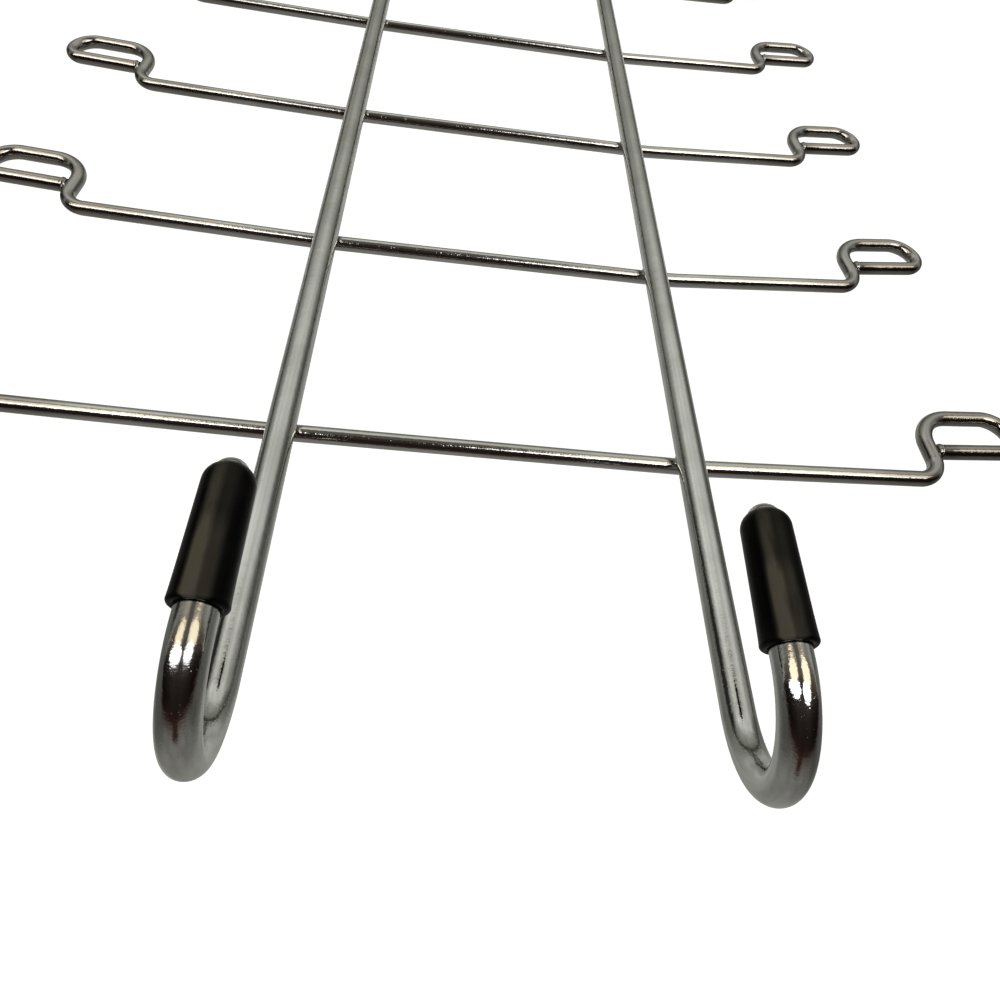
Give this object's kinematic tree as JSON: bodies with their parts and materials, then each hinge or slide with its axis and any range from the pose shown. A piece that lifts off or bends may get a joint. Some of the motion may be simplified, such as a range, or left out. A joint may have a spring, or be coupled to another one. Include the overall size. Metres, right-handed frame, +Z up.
{
  "type": "scarf hanger",
  "caption": "Hanging scarf rack: two hooked uprights joined by level cross wires whose arms end in closed loops, with soft caps on the hook tips.",
  "frame": {"origin": "on the axis of the closet rod that the object hangs from, midway between its two hooks", "axes": "+X along the cross wires and the closet rod, to the right seen from the front; +Y to the back, where the hooks' tips are; +Z up as it hangs"},
  "size_m": [0.3578, 0.0587, 0.5082],
  "materials": {
    "chrome": "polished chrome plate on steel",
    "vinyl": "satin black soft vinyl"
  },
  "bodies": {
    "root": {"left_upright": "chrome", "right_upright": "chrome", "cross_wire_1": "chrome", "cross_wire_2": "chrome", "cross_wire_3": "chrome", "cross_wire_4": "chrome", "cross_wire_5": "chrome", "weld_beads": "chrome", "left_tip_cap": "vinyl", "right_tip_cap": "vinyl"}
  },
  "joints": []
}
